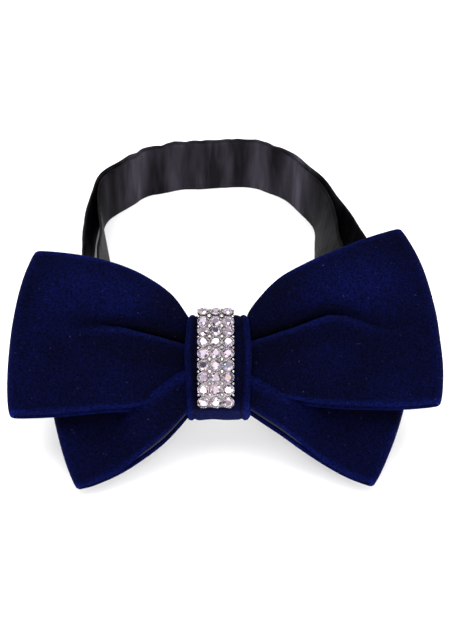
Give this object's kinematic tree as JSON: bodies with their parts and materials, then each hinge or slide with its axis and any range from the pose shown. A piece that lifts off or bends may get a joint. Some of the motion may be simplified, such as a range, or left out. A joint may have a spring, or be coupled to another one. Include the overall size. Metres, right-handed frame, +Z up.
{
  "type": "pre-tied bow on a neckband",
  "caption": "Pre-tied velvet bow with a rhinestone-covered knot on an adjustable satin neckband that closes behind the bow with a hook and eye.",
  "frame": {"origin": "centre of the footprint, on the surface that the bow lies on", "axes": "+Z up, the bow's face looks towards -Y and up, the neckband lies behind it towards +Y"},
  "size_m": [0.129, 0.1636, 0.0605],
  "materials": {
    "velvet": "deep blue velvet",
    "stiffener": "dark woven stiffener",
    "thread": "black sewing thread",
    "wadding": "white wadding",
    "silver_metal": "silver plated cups",
    "clear_stone": "faceted clear stones",
    "satin": "black satin ribbon",
    "black_metal": "gloss black coated metal"
  },
  "bodies": {
    "bow": {"front_bow_velvet": "velvet", "front_bow_stiffener": "stiffener", "rear_bow_velvet": "velvet", "rear_bow_stiffener": "stiffener", "knot_wrap": "velvet", "binding_thread": "thread", "knot_padding": "wadding", "knot_seam_stitches": "thread", "stone_cups": "silver_metal", "stones": "clear_stone", "cup_net": "silver_metal", "strip_end_stitches": "thread", "knot_tape": "satin", "eye_tab": "satin", "eye_tab_stitches": "thread"},
    "band": {"band_inner_strap": "satin", "band_outer_strap": "satin", "band_hook_fold": "satin"},
    "hook": {"hook": "black_metal"},
    "eye": {"eye_ring": "black_metal"},
    "slider": {"slider": "black_metal", "band_end_loop": "satin", "band_end_stitches": "thread"}
  },
  "joints": [
    {"name": "band_swing", "type": "hinge", "parent": "bow", "child": "band", "pos_m": [-0.01633, -0.04545, 0.01993], "axis": [0, 0.8192, 0.5736], "range_deg": [0, 15]},
    {"name": "hook_turn", "type": "hinge", "parent": "band", "child": "hook", "pos_m": [0.03585, -0.04268, 0.01597], "axis": [0, -0.8192, -0.5736], "range_deg": [0, 40]},
    {"name": "eye_turn", "type": "hinge", "parent": "bow", "child": "eye", "pos_m": [0.02035, -0.04368, 0.0174], "axis": [0, -0.8192, -0.5736], "range_deg": [0, 20]},
    {"name": "slider_slide", "type": "slide", "parent": "band", "child": "slider", "axis": [0, 1, 0], "range_m": [-0.0065, 0.008]}
  ]
}
